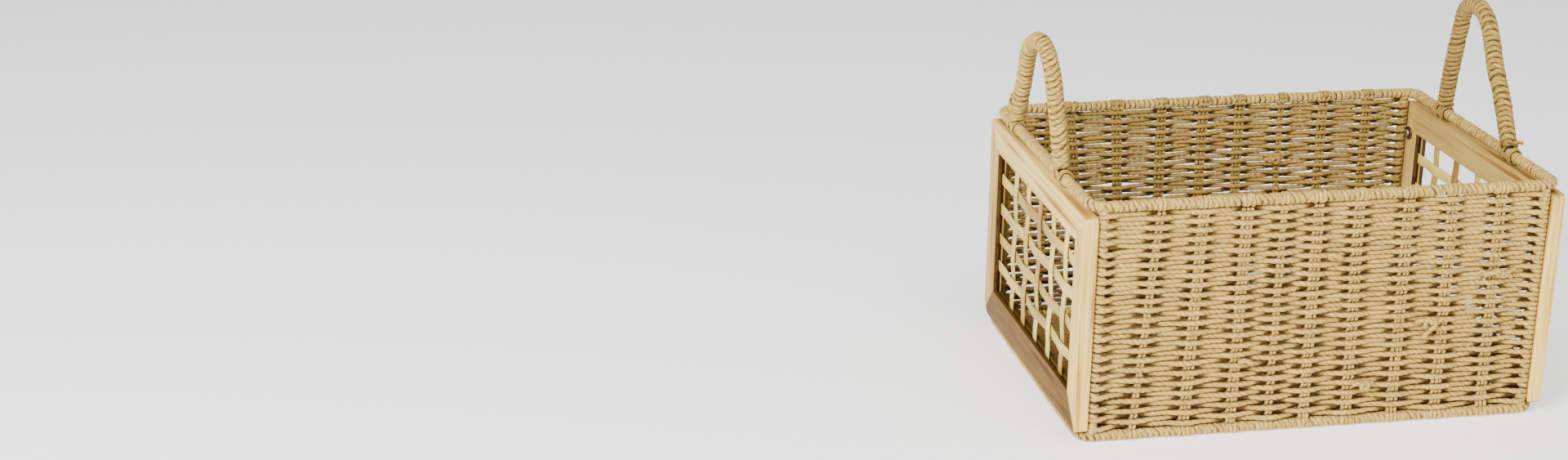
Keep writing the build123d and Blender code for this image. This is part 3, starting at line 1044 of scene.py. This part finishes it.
def lattice(end_name, end_side, upright_ys, cross_zs):
    """All the strips of one end frame, in the space of their two CAD nodes."""
    upright_low, upright_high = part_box(end_name + "_lattice_uprights")
    cross_low, cross_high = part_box(end_name + "_lattice_crosses")
    half_thickness = 0.45 * (upright_high.x - upright_low.x)
    middle_x = (min(upright_low.x, cross_low.x) + max(upright_high.x, cross_high.x)) / 2
    uprights, crosses = [], []
    for kind, strips, along, places, crossings, first_side, wave, bamboo in (
        ("upright", uprights, 2, upright_ys, cross_zs, -end_side, UPRIGHT_WAVE, upright_bamboo),
        ("cross", crosses, 1, cross_zs, upright_ys, end_side, CROSS_WAVE, cross_bamboo),
    ):
        across = 3 - along
        for number, place in enumerate(places):
            half_width = STRIP_HALF_WIDTH * rng.uniform(0.93, 1.06)
            low = [middle_x - half_thickness, cross_low.y, upright_low.z]
            high = [middle_x + half_thickness, cross_high.y, upright_high.z]
            low[across] = place - half_width
            high[across] = place + half_width
            strip_name = end_name + "_" + kind + "_strip_" + str(number + 1)
            side = first_side * (-1) ** number
            strip = bamboo_strip(strip_name, low, high, along, crossings, side, wave)
            strip.data.materials.append(bamboo)
            strips.append(strip)
    for strip in uprights:
        tilt = rng.normal(0, 0.8)  # in degrees: none stands quite straight
        middle = list(np.mean([vert.co for vert in strip.data.vertices], axis=0))
        only(strip)
        bpy.ops.object.mode_set(mode="EDIT")
        bpy.ops.mesh.select_all(action="SELECT")
        bpy.ops.transform.rotate(
            value=math.radians(tilt), orient_axis="X", center_override=middle
        )
        bpy.ops.object.mode_set(mode="OBJECT")
        settle(strip, "basket", "bamboo", end_name + "_lattice_uprights")
    for strip in crosses:
        settle(strip, "basket", "bamboo", end_name + "_lattice_crosses")


lattice("left", -1, [-0.0765, -0.0395, -0.0015, 0.0350, 0.0715], [0.0600, 0.0855, 0.1130, 0.1405])
lattice("right", 1, [-0.0750, -0.0390, 0.0010, 0.0400, 0.0800], [0.0600, 0.0860, 0.1135, 0.1415])


# ---- Screws and washers ----
# Pan-head screws with a cross recess go from inside, past each corner post, into the wood. Each
# has a thin brown washer that clamps the cord on the post.
def metal_material(name, dull, bright, roughness):
    """Plated or coated metal with small dull stains."""
    made, tree, links, shader = new_material(name, bright, roughness)
    shader.inputs["Metallic"].default_value = 0.9
    place = tree.new("ShaderNodeTexCoord").outputs["Object"]
    stains = noise_on(tree, links, place, 900, (1, 1, 1), 4)
    stain_ramp = ramp_between(tree, links, stains.outputs["Fac"], [(0.35, dull), (0.65, bright)])
    links.new(stain_ramp.outputs["Color"], shader.inputs["Base Color"])
    roughness_from(tree, links, shader, stains.outputs["Fac"], 0.55, 0.3)
    add_bump(tree, links, shader, stains.outputs["Fac"], 0.00005, 0.5)
    return made


screw_steel = metal_material("screw_steel", (0.20, 0.17, 0.12), (0.50, 0.46, 0.38), 0.35)
washer_steel = metal_material("washer_steel", (0.13, 0.07, 0.03), (0.24, 0.14, 0.07), 0.5)
SCREW_SEATING = 0.0093  # they are driven home, close against the boards
WASHER_RADIUS = 0.0060
BORE_RADIUS = 0.0019
HEAD_RADIUS = 0.0034
SHANK_RADIUS = 0.0015
RECESS_REACH = 0.0019
RECESS_HALF_WIDTH = 0.00045
RECESS_DEPTH = 0.0011


def round_part(name, radius, low_x, high_x, middle, arris):
    """A cylinder along X with rounded ends; middle is its (y, z)."""
    bpy.ops.object.select_all(action="DESELECT")
    bpy.ops.mesh.primitive_cylinder_add(
        vertices=32,
        radius=radius,
        depth=high_x - low_x,
        location=((low_x + high_x) / 2, middle[0], middle[1]),
        rotation=(0, math.pi / 2, 0),
    )
    part = bpy.context.object
    part.name = name
    bpy.ops.object.transform_apply(location=True, rotation=True, scale=True)
    bpy.ops.object.mode_set(mode="EDIT")
    pick("EDGE", lambda edge: edge.calc_face_angle(0) > 1)
    bpy.ops.mesh.bevel(offset=arris, segments=4, affect="EDGES")
    bpy.ops.object.mode_set(mode="OBJECT")
    return part


def cut(piece, cutter):
    """Take the cutter's shape away from the piece."""
    recess = piece.modifiers.new("recess", "BOOLEAN")
    recess.object = cutter
    apply_all(piece)
    bpy.data.objects.remove(cutter)


def joined(parts, name):
    """All the parts as one piece."""
    bpy.ops.object.select_all(action="DESELECT")
    for part in parts:
        part.select_set(True)
    bpy.context.view_layer.objects.active = parts[0]
    bpy.ops.object.join()
    parts[0].name = name
    bpy.ops.object.shade_smooth_by_angle(angle=math.radians(40))
    return parts[0]


for end_name, end_side in (("left", -1), ("right", 1)):
    seating = Vector((end_side * SCREW_SEATING, 0, 0))
    washer_low, washer_high = (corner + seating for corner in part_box(end_name + "_frame_washers"))
    screw_low, screw_high = (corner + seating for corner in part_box(end_name + "_frame_screws"))
    heads, rings = [], []
    face = screw_low.x if end_side > 0 else screw_high.x
    seat = washer_low.x if end_side > 0 else washer_high.x
    tip = (screw_high.x if end_side > 0 else screw_low.x) - seating.x
    for y in (washer_low.y + WASHER_RADIUS, washer_high.y - WASHER_RADIUS):
        for z in (washer_low.z + WASHER_RADIUS, washer_high.z - WASHER_RADIUS):
            spot = (y, z)
            ring = round_part("washer", WASHER_RADIUS, washer_low.x, washer_high.x, spot, 0.0003)
            bore_low, bore_high = washer_low.x - 0.001, washer_high.x + 0.001
            cut(ring, round_part("bore", BORE_RADIUS, bore_low, bore_high, spot, 0.0001))
            rings.append(ring)
            head = round_part("screw", HEAD_RADIUS, min(face, seat), max(face, seat), spot, 0.0012)
            twist = rng.uniform(0, math.pi)
            for quarter in (0, 1):
                wing = block(
                    "wing",
                    (face - RECESS_DEPTH, y - RECESS_HALF_WIDTH, z - RECESS_REACH),
                    (face + RECESS_DEPTH, y + RECESS_HALF_WIDTH, z + RECESS_REACH),
                )
                bpy.ops.object.mode_set(mode="EDIT")
                bpy.ops.mesh.select_all(action="SELECT")
                bpy.ops.transform.rotate(
                    value=twist + quarter * math.pi / 2,
                    orient_axis="X",
                    center_override=(face, y, z),
                )
                bpy.ops.object.mode_set(mode="OBJECT")
                cut(head, wing)
            shank = round_part("shank", SHANK_RADIUS, min(seat, tip), max(seat, tip), spot, 0.0004)
            heads += [head, shank]
    screws = joined(heads, end_name + "_pan_screws")
    screws.data.materials.append(screw_steel)
    settle(screws, "basket", "screw_steel", end_name + "_frame_screws")
    washers = joined(rings, end_name + "_flat_washers")
    washers.data.materials.append(washer_steel)
    settle(washers, "basket", "washer_steel", end_name + "_frame_washers")


# ---- Handles ----
# Each handle is a wire bent to a narrow arch and wound close with cord. It leans on its lashings,
# which let it swing about the rim's short side.
HANDLE_PITCH = 0.0049
HANDLE_RADIUS = 0.0073
HANDLE_CORD_THICKNESS = 0.0014
HANDLE_CORD_BREADTH = 0.0024
HANDLE_UNEVENNESS = 0.0007
FILLING_RADIUS = 0.0056  # the cord beneath, seen where two turns part
FOOT_CLEARANCE = 0.0075  # the winding stops this far from the rim's centre line
# How far the turns swing to either side, at places from the front foot to the rear one.
TURN_LEAN = (-0.0048, -0.0046, -0.0036, -0.0014, -0.0008)
handle_cords = {
    "left": cord_material(
        "left_handle_cord", (0.77, 0.53, 0.145), (0.56, 0.355, 0.075), (0.11, 0.046, 0.008)
    ),
    # The right handle's cord is a darker copy of the left one's: painted shade, though both have the
    # same cord.
    "right": cord_material(
        "right_handle_cord", (0.60, 0.405, 0.10), (0.42, 0.26, 0.050), (0.085, 0.036, 0.006)
    ),
}
handle_rest = {
    "left": {
        "side": -1,
        "middle": 0.016,
        "half_span": 0.070,
        "splay": 25,
        "bend": 0.042,
        "lean": 2.5,
        "skew": -0.030,
        "stretch": 1.02,
    },
    "right": {
        "side": 1,
        "middle": 0.010,
        "half_span": 0.064,
        "splay": 22,
        "bend": 0.028,
        "lean": -6.5,
        "skew": 0.0,
        "stretch": 1.008,
    },
}


def arch_space(handle):
    """Origin on the rim's centre line, and the arch's along, up and outward directions."""
    lean = math.radians(handle["lean"])
    side = handle["side"]
    origin = np.array([side * rim_half_length, handle["middle"], top_rim_z])
    up = np.array([side * math.sin(lean), 0, math.cos(lean)])
    out = np.array([side * math.cos(lean), 0, -math.sin(lean)])
    return origin, np.array([0.0, 1.0, 0.0]), up, out


def arch_path(handle, start):
    """The arch's centre line from start up the front leg to the same place on the rear leg."""
    splay = math.radians(handle["splay"])
    span, bend = handle["half_span"], handle["bend"]
    peak = span / math.tan(splay)
    centre_height = peak - bend / math.sin(splay)
    flat = [(-span + start * math.sin(splay), start * math.cos(splay))]
    for angle in np.linspace(math.pi - splay, splay, 25):
        flat.append((bend * math.cos(angle), centre_height + bend * math.sin(angle)))
    flat.append((span - start * math.sin(splay), start * math.cos(splay)))
    origin, along, up, out = arch_space(handle)
    skew = handle["skew"]  # the hand-bent tops are pulled a little to one side
    return np.array(
        [origin + along * (y + skew * (h / peak) ** 3) + up * handle["stretch"] * h
         for y, h in flat]
    )


for end_name, handle in handle_rest.items():
    origin, along, up, out = arch_space(handle)
    path = fine(arch_path(handle, FOOT_CLEARANCE))
    path = path + smooth_noise(len(path), 24, 0.0004)[:, None] * out
    winding = wound_cord(
        path,
        out,
        HANDLE_RADIUS,
        HANDLE_PITCH,
        HANDLE_CORD_THICKNESS,
        HANDLE_CORD_BREADTH,
        TURN_LEAN,
        HANDLE_UNEVENNESS,
    )
    filling = strand(path, out, FILLING_RADIUS, FILLING_RADIUS)
    cord_piece(
        end_name + "_handle_cord",
        [winding, filling],
        handle_cords[end_name],
        end_name + "_handle",
        "handle_cord",
        end_name + "_handle_wrap",
    )


# ---- Handle lashings ----
# A length of cord ties each foot of a handle to the rim: some turns round the rim on both sides of
# the foot, and a crossed pair that goes over the foot, behind the leg and under the rim.
LASHING_THICKNESS = 0.0010
LASHING_BREADTH = 0.0019
LASHING_RADIUS = 0.0069
LASHING_PITCH = 0.0037
COLLAR_RADIUS = 0.0090
COLLAR_PITCH = 0.0042
MM = 0.001


def smooth_loop(points, count, closed=True):
    """A smooth curve through the points."""
    points = np.asarray(points, float)
    if closed:
        points = np.concatenate([points[-1:], points, points[:2]])
    else:
        before = 2 * points[:1] - points[1:2]
        after = 2 * points[-1:] - points[-2:-1]
        points = np.concatenate([before, points, after])
    spans = len(points) - 3
    steps = np.linspace(0, spans - 1e-9, count)
    first = steps.astype(int)
    t = (steps - first)[:, None]
    a, b, c, d = (points[first + k] for k in range(4))
    return 0.5 * (
        2 * b + (c - a) * t + (2 * a - 5 * b + 4 * c - d) * t**2 + (3 * b - a - 3 * c + d) * t**3
    )


def lashing(handle, foot_side):
    """The strands that tie one foot, and the function that places a point near that foot."""
    origin, along, up, out = arch_space(handle)
    splay = math.radians(handle["splay"])
    foot = origin + along * foot_side * handle["half_span"]
    leg = up * math.cos(splay) - along * foot_side * math.sin(splay)

    def placed(local):
        """Points (outward, along the rim, up the leg) in millimetres from the foot."""
        local = np.asarray(local, float) * MM
        return foot + local[:, :1] * out + local[:, 1:2] * along + local[:, 2:3] * leg

    strands = []
    for start, stop in ((-10.0, -3.0), (3.5, 10.0)):
        line = np.array([foot + along * start * MM, foot + along * stop * MM])
        strands.append(
            wound_cord(
                fine(line, 0.0005),
                out,
                LASHING_RADIUS,
                LASHING_PITCH,
                LASHING_THICKNESS,
                0.0020,
                0.0008,
                0.0003,
            )
        )
    crossed = [
        (4.8, -5.5, -1.5),
        (5.0, 0, 4.8),
        (3, 5.6, 9.5),
        (-5.4, 0.5, 11.5),
        (3, -5.6, 9.5),
        (5.5, 0, 5.8),
        (4.8, 5.5, -1.5),
        (0, 6.5, -6.0),
        (-5.8, 1.0, -0.5),
        (0, -6.5, -6.0),
    ]
    for shift in (0.0, 1.9):
        points = placed([(x, y * (1 + 0.16 * shift), z + shift * 0.9) for x, y, z in crossed])
        loop = smooth_loop(points, 130)
        middle = foot + leg * 0.002
        outward = unit(loop - middle)
        strands.append(strand(loop, outward, LASHING_THICKNESS, LASHING_BREADTH, 0.0014))
    return strands, placed


def cord_end(points):
    """A short loose cord end, curved through the points."""
    curve = smooth_loop(points, 24, closed=False)
    return strand(curve, [0, 0, 1], 0.0016, LASHING_BREADTH, 0.0008)


for end_name, handle in handle_rest.items():
    for foot_name, foot_side in (("front", -1), ("rear", 1)):
        strands, placed = lashing(handle, foot_side)
        if (end_name, foot_name) == ("right", "front"):
            strands.append(
                cord_end(placed([(2, -5, 11), (4.5, -6.5, 11.5), (7, -7.5, 11), (9, -8.5, 10.8)]))
            )
        if (end_name, foot_name) == ("left", "rear"):
            collar = fine(placed([(0.5, 0.8, z) for z in (22, 24, 27, 30)]), 0.0005)
            out = arch_space(handle)[3]
            strands.append(
                wound_cord(
                    collar, out, COLLAR_RADIUS, COLLAR_PITCH, 0.0014, 0.0026, -0.0010, 0.0002
                )
            )
        node_name = end_name + "_handle_" + foot_name + "_lashing"
        cord_piece(
            node_name + "_cord",
            strands,
            handle_cords[end_name],
            end_name + "_handle",
            "handle_cord",
            node_name,
        )


# ---- Joins in the weft ----
# Where one length of cord runs out, its end and the next one's are knotted and tucked, and short
# tails stand out of the wall.
def weft_join(x, z, face, side, cords):
    """Short cord ends knotted at a place on a wall; points are (along, up, out) in millimetres."""
    strands = []
    for points in cords:
        spots = [
            (x + along * MM, face + side * (MM + out * MM), z + up * MM)
            for along, up, out in points
        ]
        curve = smooth_loop(spots, 40, closed=False)
        strands.append(strand(curve, [0, side, 0], 0.0018, 0.0023, 0.0008))
    return strands


LOOP_KNOT = [
    [
        (-12, 1, 0.2),
        (-6, 2.6, 1.6),
        (0, 3.6, 2.4),
        (4, 2, 2.8),
        (4, -1.5, 2.8),
        (1, -5.5, 2.4),
        (-2.5, -9.5, 1.8),
        (-5, -13, 1.0),
    ],
    [(11, 2.5, 0.2), (6, 0, 1.6), (1.5, 0.5, 3.8), (-2, 2.8, 2.8), (-4, -1.5, 1.6), (-1, -4, 0.6)],
]
FLAT_KNOT = [
    [(-15, 3, 0.2), (-8, 1, 2.0), (-1, 3.2, 2.8), (6, 0, 3.0), (13, -3, 0.6)],
    [(-11, -1.5, 0.2), (-4, 2.5, 3.2), (2, -1.5, 2.4), (9, 1.5, 2.2), (15, 4, 0.3)],
]
SMALL_KNOT = [
    [
        (-9, 0, 0.2),
        (-3, 2.2, 2.4),
        (2.5, 1.5, 3.2),
        (2.8, -2, 2.8),
        (-1.5, -1.8, 2.6),
        (-2.5, 1.2, 3.8),
        (1, 2.8, 3.0),
        (8, 1, 0.3),
    ],
]
TUFT = [[(-6, 0.5, 0.2), (-2, 2.0, 1.8), (2, 1.0, 2.4), (5, -1.0, 2.0)]]
front_joins = [
    (0.094, 0.087, LOOP_KNOT),
    (0.148, 0.126, FLAT_KNOT),
    (0.042, 0.036, SMALL_KNOT),
    (-0.060, 0.062, TUFT),
    (0.008, 0.148, TUFT),
]
back_joins = [(0.062, 0.142, SMALL_KNOT)]
for wall_name, wall, cord, joins in (
    ("front", -wall_y, weft_cord, front_joins),
    ("back", wall_y, shaded_back_weft_cord, back_joins),
):
    strands = []
    for x, z, cords in joins:
        strands += weft_join(x, z, wall - WEAVE_DEPTH, -1, cords)
    cord_piece(
        wall_name + "_wall_weft_joins",
        strands,
        cord,
        "basket",
        "woven_cord",
        wall_name + "_wall_weave",
    )


# ---- Studio ----
# A pale matt floor that glows a little, so that the shadow on it stays soft. A large key light
# stands at the front left, with a wide light overhead, a weaker fill at the right and a pale sky.
bpy.ops.mesh.primitive_plane_add(size=12, location=(0, 0, -0.0004))
floor = bpy.context.object
floor.name = "floor"
floor_paint, _, _, floor_shader = new_material("floor_paint", (0.93, 0.93, 0.92), 0.7)
floor_shader.inputs["Emission Color"].default_value = (1, 1, 1, 1)
floor_shader.inputs["Emission Strength"].default_value = 0.75
floor.data.materials.append(floor_paint)


def soft_light(name, size, power, place, target):
    """A round area light that faces the target."""
    lamp = bpy.data.lights.new(name, "AREA")
    lamp.shape = "DISK"
    lamp.size = size
    lamp.energy = power
    holder = bpy.data.objects.new(name, lamp)
    bpy.context.scene.collection.objects.link(holder)
    holder.location = place
    holder.rotation_euler = (Vector(target) - Vector(place)).to_track_quat("-Z", "Y").to_euler()


soft_light("key_light", 1.2, 150, (-1.9, -1.5, 1.5), (0, 0, 0.1))
soft_light("overhead_light", 1.8, 45, (0.1, -1.1, 2.3), (0, -0.1, 0))
soft_light("fill_light", 1.8, 22, (1.5, -1.9, 0.9), (0, 0, 0.1))
sky = bpy.data.worlds.new("sky")
bpy.context.scene.world = sky
sky.use_nodes = True
sky.node_tree.nodes["Background"].inputs["Color"].default_value = (1.0, 0.99, 0.97, 1)
sky.node_tree.nodes["Background"].inputs["Strength"].default_value = 0.26

camera = bpy.data.cameras.new("camera")
camera.sensor_width = 36
camera.lens = 54.56625
camera.clip_start = 0.05
camera_holder = bpy.data.objects.new("camera", camera)
bpy.context.scene.collection.objects.link(camera_holder)
camera_holder.location = (-0.7476, -1.8002, 0.7882)
CAMERA_YAW = -0.1848
CAMERA_PITCH = 0.3379
CAMERA_ROLL = 0.0111
camera_holder.rotation_mode = "XYZ"
flat_forward = Vector((-math.sin(CAMERA_YAW), math.cos(CAMERA_YAW), 0))
flat_right = Vector((math.cos(CAMERA_YAW), math.sin(CAMERA_YAW), 0))
forward = flat_forward * math.cos(CAMERA_PITCH) - Vector((0, 0, math.sin(CAMERA_PITCH)))
upward = flat_forward * math.sin(CAMERA_PITCH) + Vector((0, 0, math.cos(CAMERA_PITCH)))
camera_right = flat_right * math.cos(CAMERA_ROLL) + upward * math.sin(CAMERA_ROLL)
camera_up = upward * math.cos(CAMERA_ROLL) - flat_right * math.sin(CAMERA_ROLL)
camera_turn = Matrix((camera_right, camera_up, -forward)).transposed()
camera_holder.rotation_euler = camera_turn.to_euler("XYZ")
bpy.context.scene.camera = camera_holder
